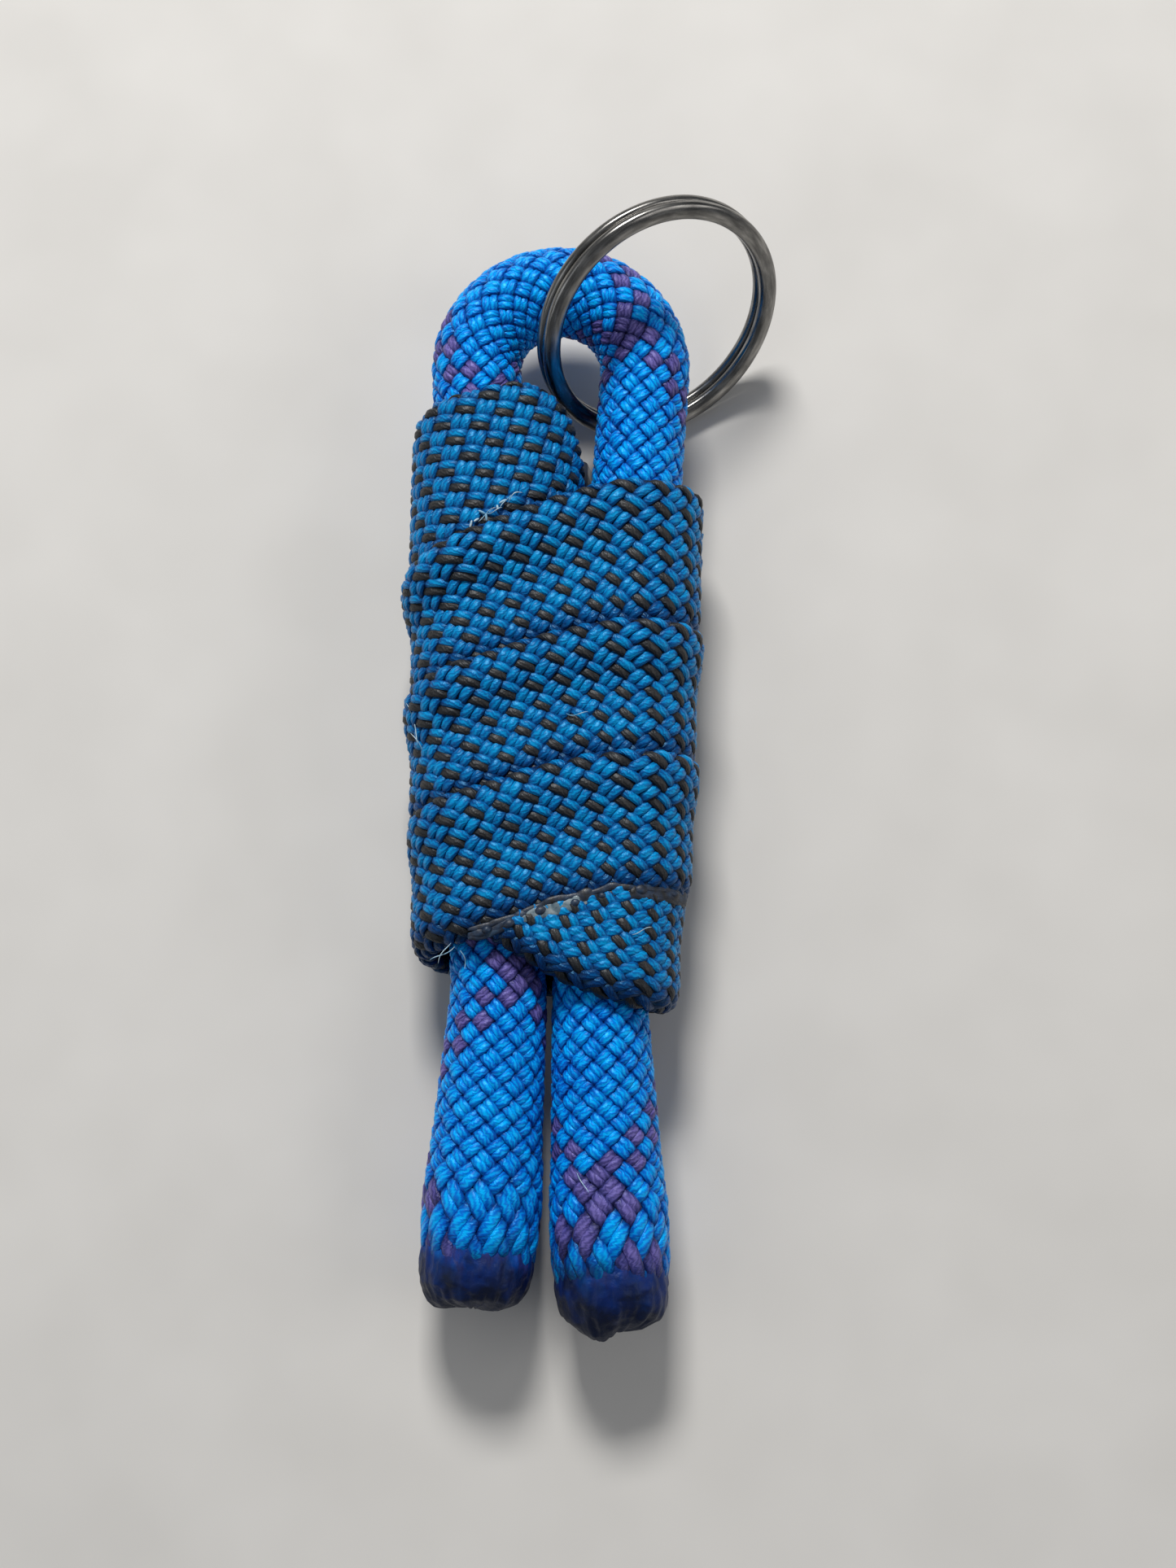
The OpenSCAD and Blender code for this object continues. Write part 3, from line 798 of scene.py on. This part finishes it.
def weave(band, a0, a1, clip=None, reach=2.6, seed=1, part=None):
    """Both families of the sleeve's braid on the outer face of a band."""
    r = np.random.RandomState(seed)
    mesh = Mesh()
    al, be = ALPHA * band.sign, BETA * band.sign
    E = band.half - RHO + np.pi * RHO + reach - 1.2
    dirs = {"A": (al, PITCH_A, be, PITCH_B), "B": (be, PITCH_B, al, PITCH_A)}
    for fam, (ang, pitch, other, opitch) in dirs.items():
        ca, sa = math.cos(ang), math.sin(ang)
        co, so = math.cos(other), math.sin(other)
        lim = [(-a * sa + c * ca) / pitch for a in (a0, a1) for c in (-E, E)]
        for i in range(int(math.floor(min(lim))), int(math.ceil(max(lim))) + 1):
            for sub in (-0.25, 0.25):
                own = i + sub
                # the line -a sa + c ca = own * pitch
                span = np.arange(-E, E, 0.42 * abs(sa))
                a = (span * ca - own * pitch) / sa
                if part and not part[0] <= -own * pitch / sa < part[1]:
                    continue
                keep = (a > a0) & (a < a1)
                if keep.sum() < 4:
                    continue
                e, a = span[keep], a[keep]
                cross = (-a * so + e * co) / opitch
                wave = np.cos(np.pi * cross) * (-1) ** i * (1 if fam == "A" else -1)
                crown = np.clip(wave, 0, 1) ** 0.6
                wave = np.tanh(0.8 * wave) / math.tanh(0.8)
                h = AMP * wave + r.uniform(-0.025, 0.025)
                c, n, tc, tn = band.wrap(e, RHO, h)
                p, nrm, idx = band.place(a, c, n)
                nn = nrm * tn[:, None]
                nn[:, 1] += tc
                if clip is not None:
                    ok = clip(p, idx)
                    if ok.sum() < 4:
                        continue
                    # longest run that stays
                    edges = np.flatnonzero(np.diff(np.concatenate([[0], ok.astype(int), [0]])))
                    runs = list(zip(edges[::2], edges[1::2]))
                    b0, b1 = max(runs, key=lambda t: t[1] - t[0])
                    if b1 - b0 < 4:
                        continue
                    p, nn = p[b0:b1], nn[b0:b1]
                # painted shade: darker along the band's lower edge at the crease, on the folded edges, and where the
                # yarn dives under another
                u = np.clip((c / band.half + 1) / 2, 0, 1)
                low = np.clip((u - 0.04) / 0.2, 0, 1)
                dark = (0.30 + 0.70 * low * low * (3 - 2 * low)) * (1 - 0.65 * np.clip(0.5 - tn * 0.9, 0, 1))
                dark = dark * (0.18 + 0.82 * crown)
                if clip is not None:
                    dark = dark[b0:b1]
                wd = pitch * 0.25 * 1.2 * r.uniform(0.97, 1.03)
                black = fam == "A" and sub * math.copysign(1, ca) < 0
                mesh.tube(p, nn, wd, 0.38, 8, 1 if black else 0, flat=0.82, v0=r.uniform(0, 1), shade=dark,
                          lean=np.sign(sub * sa))
    return mesh


def sleeve_piece(name, mesh):
    o = mesh.make(name, [sleeve_blue, sleeve_black])
    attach(o, "fob")
    return o


# three turns and the last pass
K = np.linspace(-0.03, 3.42, 1400)
k_top = edge(np.maximum(K, 0))
k_bot = edge(np.clip(K + 1, 1, 4)) - 0.45
late = smooth(LAST_K, LAST_Y, np.clip(K, 2.85, 3.5))
mixk = np.clip((K - 2.85) / 0.12, 0, 1)
mixk = mixk * mixk * (3 - 2 * mixk)
k_bot = k_bot * (1 - mixk) + late * mixk
k_top2 = np.where(K > 3.0, k_bot + (k_top - k_bot)[np.searchsorted(K, 3.0)], k_top)
soft_lift = np.clip(-(k_top2 - 7 + 30) * 0.012, 0, 0.35) * np.interp(K, [2.1, 2.5, 2.7], [1.0, 0.2, 0.0])
press = BAND_R + soft_lift
sx, sz, snx, snz = slot(K, (k_top + k_bot) / 2, BAND_R)
sx, sz = sx + snx * (soft_lift - 0.15 * np.abs(snx)), sz + snz * soft_lift
rise = np.interp(K, [0, 0.1, 0.2, 0.32, 0.5, 0.62, 0.9, 1.0, 1.15, 1.4, 1.6, 2.0, 2.15, 2.4, 2.6, 2.9, 3.0, 3.15],
                 [0.3, 0.3, 1.2, 2.2, 2.0, 1.8, 1.2, 1.2, 1.7, 1.7, 1.2, 1.1, 1.5, 1.3, 0.9, 0.8, 0.8, 0.0])
rise = rise * (0.6 + 0.4 * np.abs(snz))
turns = Band(sx, sz, snx, snz, k_top2, k_bot, rise, True, half=7.75)


def turns_clip(p, idx):
    k = np.interp(idx, np.arange(len(K)), K)
    return (k < 3.02) | (p[:, 1] < edge(np.clip(k, 0, 4)) - 0.15 + 0.0 * k)


def a_of(k):
    return float(np.interp(np.interp(k, K, np.arange(len(K))), turns.idx, turns.L))


sleeve = []
cuts = [-1e6, a_of(1.1), a_of(2.1), 1e6]
for i in range(3):
    sleeve.append(sleeve_piece(f"sleeve_turn_{i + 1}_yarns", weave(turns, turns.L[0], turns.L[-1], turns_clip, seed=20 + i,
                                                                   part=(cuts[i], cuts[i + 1]))))


def catmull(st, per):
    """A smooth run through stations."""
    st = np.asarray(st, float)
    out = []
    for i in range(len(st) - 1):
        p0, p1, p2, p3 = st[max(i - 1, 0)], st[i], st[i + 1], st[min(i + 2, len(st) - 1)]
        for j in range(per):
            t = j / per
            out.append(0.5 * (2 * p1 + (p2 - p0) * t + (2 * p0 - 5 * p1 + 4 * p2 - p3) * t * t + (3 * p1 - p0 - 3 * p2 + p3) * t ** 3))
    out.append(st[-1])
    return np.array(out)


def arc_st(cx, a, side, yt, yb):
    a = math.radians(a)
    return [cx + BAND_R * math.cos(a), BAND_R * math.sin(a), side * math.cos(a), side * math.sin(a), yt, yb]


FIRST = [arc_st(-leg_at(-13), a, 1, yt, yb) for a, yt, yb in (
    (285, -14.6, -30.5), (260, -14.4, -30.3), (235, -14.0, -29.8), (210, -12.8, -29.3), (190, -10.6, -29.0), (170, -8.3, -28.4),
    (150, -7.0, -27.4), (130, -6.3, -26.3), (110, -5.8, -25.0), (90, -5.4, -23.8))]
FIRST += [[-6.2, BAND_R - 0.1, 0.14, 0.99, -4.5, -22.4], [-3.4, BAND_R - 0.6, 0.38, 0.92, -4.3, -21.0],
          [-1.0, 4.7, 0.64, 0.77, -5.3, -20.0], [0.7, 2.8, 0.83, 0.56, -7.4, -19.4], [1.6, 0.6, 0.95, 0.3, -10.2, -19.4],
          [2.0, -1.8, 1.0, 0.0, -12.2, -19.4]]
first = catmull(FIRST, 24)
patch = Band(first[:, 0], first[:, 1], first[:, 2], first[:, 3], first[:, 4], first[:, 5], np.zeros(len(first)) + 0.05, False)


def weave_patch(seed):
    """The first pass: here the yarns keep one direction over the leg, and fold
    under along the band's curved upper edge."""
    r = np.random.RandomState(seed)
    mesh = Mesh()
    s_of, top, bot = patch.s, first[:, 4], first[:, 5]
    slope = np.arctan2(np.gradient(top), np.gradient(s_of) + 1e-9)
    ang = {"A": (math.radians(-4.0), PITCH_A), "B": (math.radians(75.0), PITCH_B)}
    smax = s_of[-1]
    for fam in "AB":
        al, pitch = ang[fam]
        be, opitch = ang["B" if fam == "A" else "A"]
        ca, sa = math.cos(al), math.sin(al)
        corners = [(s, y) for s in (0, smax) for y in (-31, 0)]
        lim = [(-s * sa + y * ca) / pitch for s, y in corners]
        for i in range(int(math.floor(min(lim))), int(math.ceil(max(lim))) + 1):
            for sub in (-0.25, 0.25):
                own = i + sub
                t = np.arange(-60, 90, 0.42)
                s = t * ca - own * pitch * sa
                y = t * sa + own * pitch * ca
                idx = np.interp(s, s_of, np.arange(len(s_of)))
                g = lambda arr: np.interp(idx, np.arange(len(s_of)), arr)
                ct = np.cos(g(slope))
                dist = (g(top) - y) * ct
                keep = (s > 0.1) & (s < smax - 0.1) & (dist > -(math.pi * RHO - RHO + 1.4)) & (y > g(bot))
                cross = (-s * math.sin(be) + y * math.cos(be)) / opitch
                wave = np.cos(np.pi * cross) * (-1) ** i * (1 if fam == "A" else -1)
                crown = np.clip(wave, 0, 1) ** 0.6
                wave = np.tanh(0.8 * wave) / math.tanh(0.8)
                h = AMP * wave + r.uniform(-0.025, 0.025)
                over = np.clip(RHO - dist, 0, None)
                fold = np.clip(over / RHO, 0, np.pi)
                past = np.clip(over - np.pi * RHO, 0, None)
                inner = np.where(over > 0, RHO - (RHO + h) * np.sin(fold) + past, dist)
                n = np.where(over > 0, (RHO + h) * np.cos(fold), RHO + h)
                nx, nz = g(patch.nx), g(patch.nz)
                ln = np.hypot(nx, nz)
                nx, nz = nx / ln, nz / ln
                p = np.stack([g(patch.x) + nx * n, g(top) - inner / ct, g(patch.z) + nz * n], -1)
                nn = np.stack([nx * np.cos(fold), np.sin(fold), nz * np.cos(fold)], -1)
                # painted shade: darker towards the patch's lower edge under the first turn's crease, on the folded
                # edge, and where the yarn dives under another
                low = np.clip((y - g(bot) - 1.6) / 3.0, 0, 1)
                dark = (0.30 + 0.70 * low * low * (3 - 2 * low)) * (1 - 0.65 * np.clip(0.5 - np.cos(fold) * 0.9, 0, 1))
                dark = dark * (0.18 + 0.82 * crown)
                edges = np.flatnonzero(np.diff(np.concatenate([[0], keep.astype(int), [0]])))
                for b0, b1 in zip(edges[::2], edges[1::2]):
                    if b1 - b0 < 4:
                        continue
                    wd = pitch * 0.25 * 1.2 * r.uniform(0.97, 1.03)
                    mesh.tube(p[b0:b1], nn[b0:b1], wd, 0.38, 8, 1 if fam == "A" and sub < 0 else 0, flat=0.82,
                              v0=r.uniform(0, 1), shade=dark[b0:b1], lean=-np.sign(sub))
    return mesh


sleeve.append(sleeve_piece("sleeve_first_pass_yarns", weave_patch(41)))

BACK = [arc_st(leg_at(yc), a, -1, yt, yb) for a, yc, yt, yb in (
    (196, -15, -9.6, -18.2), (215, -15, -10.4, -20.4), (240, -16, -11.6, -23.2), (265, -17, -12.9, -26.2), (290, -16, -14.0, -28.6),
    (315, -15, -14.8, -30.4), (340, -15, -15.4, -31.4), (358, -15, -15.6, -31.9))]
backs = catmull(BACK, 26)
behind = Band(backs[:, 0], backs[:, 1], -backs[:, 2], -backs[:, 3], backs[:, 4], backs[:, 5], np.zeros(len(backs)) + 0.05, True)
sleeve.append(sleeve_piece("sleeve_behind_right_leg_yarns", weave(behind, 0.2, behind.L[-1] - 0.2, None, seed=53)))


# the sleeve's body under the yarns: one closed band, near black as painted shade in the gaps between yarns
def band_body(name, bands, mats):
    mesh = Mesh()
    sec = [(1, 0), (0.985, 0.6), (0.94, 1), (0.5, 1), (0, 1), (-0.5, 1), (-0.94, 1), (-0.985, 0.6), (-1, 0), (-0.985, -0.6), (-0.94, -1),
           (-0.5, -1), (0, -1), (0.5, -1), (0.94, -1), (0.985, -0.6)]
    m_ = len(sec)
    for b, step, lo, hi, flip, t0, t1 in bands:
        ii = np.arange(lo, hi, step)
        pts = []
        for q in ii:
            q = int(q)
            inset = 0.5
            H = max(b.H[q] - inset, 0.3)
            for c, n in sec:
                top_cut = t1(q) if t1 else 1e9
                y = min(b.yc[q] + c * H, top_cut)
                u = (y - (b.yc[q] - b.H[q])) / (2 * b.H[q])
                off = n * 0.72 + b.rise[q] * float(ramp_up(u))
                ln = math.hypot(b.nx[q], b.nz[q])
                pts.append([b.x[q] + b.nx[q] / ln * off, y, b.z[q] + b.nz[q] / ln * off])
        c = len(ii)
        i = np.arange(c - 1)[:, None] * m_
        j = np.arange(m_)[None]
        k = (j + 1) % m_
        quad = np.stack([i + j, i + k, i + m_ + k, i + m_ + j], -1).reshape(-1, 4)
        capa, capb = list(range(m_ - 1, -1, -1)), list(range((c - 1) * m_, c * m_))
        if flip:
            quad, capa, capb = quad[:, ::-1], capa[::-1], capb[::-1]
        mesh.v.append(np.array(pts))
        mesh.quads.append(quad + mesh.n)
        mesh.qm.append(np.zeros(len(quad), int))
        mesh.quv.append(np.zeros((len(quad) * 4, 2)))
        mesh.caps += [[x + mesh.n for x in capa], [x + mesh.n for x in capb]]
        mesh.cm += [0, 0]
        mesh.n += len(pts)
    return mesh.make(name, mats)


def last_cut(q):
    return float(edge(np.array([K[q]]))[0]) - 0.5 if K[q] > 3.02 else 1e9


body = band_body("sleeve_body", [
    (turns, 5, 4, int(np.searchsorted(K, 3.33)), False, None, last_cut),
    (patch, 6, 2, len(first) - 2, True, None, None),
    (behind, 6, 2, len(backs) - 2, False, None, None)], [under_sleeve])
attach(body, "fob")
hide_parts("wrap_sleeve")


# ------------------------------------------------- singed end of the sleeve
def singed_edge():
    mesh = Mesh()
    k = np.linspace(3.01, 3.372, 170)
    x, z, nx, nz = slot(k, edge(k), BAND_R)
    nrm = np.stack([nx, 0 * nx, nz], -1)
    wave = lambda f, o_: np.array([noise.noise(Vector((q * f, o_, 1.5))) for q in k])
    # a flat melted seam with a wavering lower edge, then lumps that stand on it
    for dy, up_, wide, thick, o_ in ((-0.55, 0.92, 0.62, 0.26, 0.0), (-0.95, 0.86, 0.5, 0.22, 6.0), (-0.15, 0.98, 0.34, 0.2, 12.0)):
        slow, quick = wave(26, o_), wave(70, o_ + 3)
        off = up_ + 0.22 * slow + 0.10 * quick
        c = np.stack([x + nx * off, edge(k) + dy + 0.34 * slow + 0.16 * quick, z + nz * off], -1)
        mesh.tube(c, nrm, wide * (1 + 0.45 * slow + 0.2 * quick), thick * (1 + 0.4 * quick), 12, 0, flat=0.8, taper=0.1)
    r = np.random.RandomState(3)
    for q in (3.06, 3.115, 3.17, 3.21, 3.262, 3.31, 3.345):
        span = r.uniform(0.006, 0.016)
        kk = np.linspace(q - span, q + span, 14)
        x, z, nx, nz = slot(kk, edge(kk), BAND_R)
        dy = r.uniform(-0.9, -0.2)
        bump_ = np.sin(np.linspace(0, np.pi, 14))
        off = 1.0 + 0.15 * bump_
        c = np.stack([x + nx * off, edge(kk) + dy, z + nz * off], -1)
        mesh.tube(c, np.stack([nx, 0 * nx, nz], -1), r.uniform(0.3, 0.55) * bump_ + 0.05, 0.3 * bump_ + 0.04, 12, 0, flat=1.0)
    # a paler, wider patch where the melt ran out over the weave
    kk = np.linspace(3.185, 3.295, 70)
    x, z, nx, nz = slot(kk, edge(kk), BAND_R)
    slow = np.array([noise.noise(Vector((q * 45, 21.0, 1.5))) for q in kk])
    quick = np.array([noise.noise(Vector((q * 170, 25.0, 1.5))) for q in kk])
    env = np.sin(np.linspace(0.03, np.pi - 0.03, 70)) ** 0.45
    c = np.stack([x + nx * (1.12 + 0.05 * quick), edge(kk) - 0.95 + 0.22 * slow + 0.08 * quick, z + nz * (1.12 + 0.05 * quick)], -1)
    mesh.tube(c, np.stack([nx, 0 * nx, nz], -1), 0.72 * env * (1 + 0.35 * slow + 0.15 * quick), 0.17 * env + 0.02, 16, 1, flat=0.7)
    o = mesh.make("singed_sleeve_end", [singed, pale_melt])
    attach(o, "fob")
    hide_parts("sleeve_cut_edge")
    return o


cut = singed_edge()


# ------------------------------------------------------------------ the ring
def ring():
    mesh = Mesh()
    n = 640
    ang = np.linspace(16, 704, n)
    mid_r, wire_w, wire_h, gap = 13.95, 2.1, 1.35, 0.08
    t = np.clip((ang - 345) / 30, 0, 1)
    s = t * t * (3 - 2 * t)
    z = (wire_h + gap) * (s - 0.5)
    a = np.radians(ang)
    p = np.stack([mid_r * np.cos(a), mid_r * np.sin(a), z], -1)
    R = (Matrix.Rotation(math.radians(-57.9), 3, "Z") @ Matrix.Rotation(math.radians(57.7), 3, "Y") @ Matrix.Rotation(math.radians(333), 3, "Z"))
    R = np.array(R)
    c = np.array([11.25, 5.8, 2.15])
    nrm = R @ np.array([0, 0, 1.0])
    pw = p @ R.T + c
    # both ends are ground to a short ramp
    e = np.minimum(np.arange(n), np.arange(n)[::-1]) * (wire_w * 0 + 0.132)
    ramp_h = np.clip(0.42 + e / 2.2, 0, 1)
    ramp_w = np.clip(0.8 + e / 1.2, 0, 1)
    mesh.tube(pw, np.tile(nrm, (n, 1)), wire_w / 2 * ramp_w, wire_h / 2 * ramp_h, 28, 0, flat=0.75)
    o = mesh.make("split_ring_wire", [steel])
    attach(o, "ring")
    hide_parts("split_ring")
    return o


ring_obj = ring()

# ------------------------------------------------ loose fibres and melt marks
def fuzz_material():
    mat, t, p = principled("loose_fibre", Roughness=0.5, Sheen_Weight=0.2)
    tc = add(t, "ShaderNodeTexCoord")
    n = add(t, "ShaderNodeTexNoise")
    n.inputs["Scale"].default_value = 800
    t.links.new(tc.outputs["Object"], n.inputs["Vector"])
    cr = ramp(t, [(0.35, (0.10, 0.32, 0.50)), (0.65, (0.55, 0.66, 0.70))])
    t.links.new(n.outputs[0], cr.inputs[0])
    t.links.new(cr.outputs[0], p.inputs["Base Color"])
    return mat


def loose_fibres():
    mesh = Mesh()
    r = np.random.RandomState(17)
    # start, general direction, length, how far it waves
    runs = [((-8.6, -20.6, 7.9), (0.9, 0.5, 0.10), 2.4, 0.5), ((-7.9, -19.6, 7.9), (0.9, 0.1, 0.10), 2.0, 0.5),
            ((-6.2, -19.0, 8.0), (0.5, 0.8, 0.05), 1.8, 0.4), ((-5.4, -18.4, 8.0), (0.9, 0.5, 0.05), 2.0, 0.6),
            ((-10.4, -67.4, 7.0), (-0.5, -1.0, -0.2), 2.6, 0.4), ((-10.0, -67.8, 7.0), (-0.9, -0.7, -0.1), 3.0, 0.5),
            ((-9.4, -68.2, 6.9), (0.3, -1.0, -0.1), 2.0, 0.4), ((-16.2, -40.5, 4.2), (0.35, -1.0, 0.3), 5.5, 0.5),
            ((-15.6, -44.0, 4.8), (0.5, -0.9, 0.2), 3.0, 0.4), ((1.5, -42.2, 7.9), (1.0, -0.1, 0.15), 2.4, 0.5),
            ((9.0, -66.3, 7.7), (1.0, 0.2, 0.1), 2.2, 0.4), ((3.5, -91.5, 5.6), (0.5, -0.9, 0.35), 2.6, 0.2)]
    for start, way, length, wave in runs:
        way = np.array(way) / np.linalg.norm(way)
        t = np.linspace(0, 1, 22)
        side = np.cross(way, (0.0, 0.0, 1.0))
        ph = r.uniform(0, 6, 3)
        bend = wave * (np.sin(4 * t + ph[0]) - math.sin(ph[0])) * 0.5
        rise = 0.35 * (np.sin(5 * t + ph[1]) - math.sin(ph[1])) * t
        p = np.array(start) + np.outer(t * length, way) + np.outer(bend, side) + np.outer(rise, (0, 0, 1.0))
        mesh.tube(p, np.tile([0.0, 0.0, 1.0], (22, 1)), 0.055, 0.055, 6, 0, flat=1.0, taper=0.15)
    for x, y, z in ((-8.2, -19.5, 7.9), (-7.7, -20.1, 7.9), (-8.8, -20.4, 7.9), (-5.9, -18.2, 7.95), (-6.5, -18.9, 7.95), (-9.4, -20.9, 7.85)):
        t = np.linspace(-1, 1, 9)
        way = r.normal(size=3) * (1, 1, 0.2)
        way /= np.linalg.norm(way)
        p = np.array((x, y, z)) + np.outer(t * r.uniform(0.25, 0.5), way)
        rad = 0.14 * np.sqrt(np.clip(1.02 - t * t, 0.02, 1))
        mesh.tube(p, np.tile([0.0, 0.0, 1.0], (9, 1)), rad, rad, 8, 0, flat=1.0)
    o = mesh.make("loose_fibres", [fuzz_material()])
    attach(o, "fob")


loose_fibres()

# -------------------------------------------------------- carried-over nodes
for name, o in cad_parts.items():
    if name.startswith("core_strand"):
        for i in range(max(1, len(o.material_slots))):
            if o.material_slots:
                o.material_slots[i].material = core_white
            else:
                o.data.materials.append(core_white)

# --------------------------------------------------------------------- floor
def floor():
    me = bpy.data.meshes.new("floor")
    s, slope = 1.5, -1.6 / 66.5
    z = lambda y: -0.01106 + slope * y
    me.from_pydata([(-s, -s, z(-s)), (s, -s, z(-s)), (s, s, z(s)), (-s, s, z(s))], [], [(0, 1, 2, 3)])
    o = bpy.data.objects.new("floor", me)
    bpy.context.scene.collection.objects.link(o)
    me.materials.append(floor_material())


floor()

# the rope's whole length, from one sealed end round the eye to the other
line = rope_path = []
for a in np.concatenate([np.linspace(-SEAL + 0.9, A_LEN + SEAL - 0.9, 110)]):
    x, y, h = route_at(np.array([a]))
    line.append((float(x[0]) * MM, float(y[0]) * MM, 0.0))
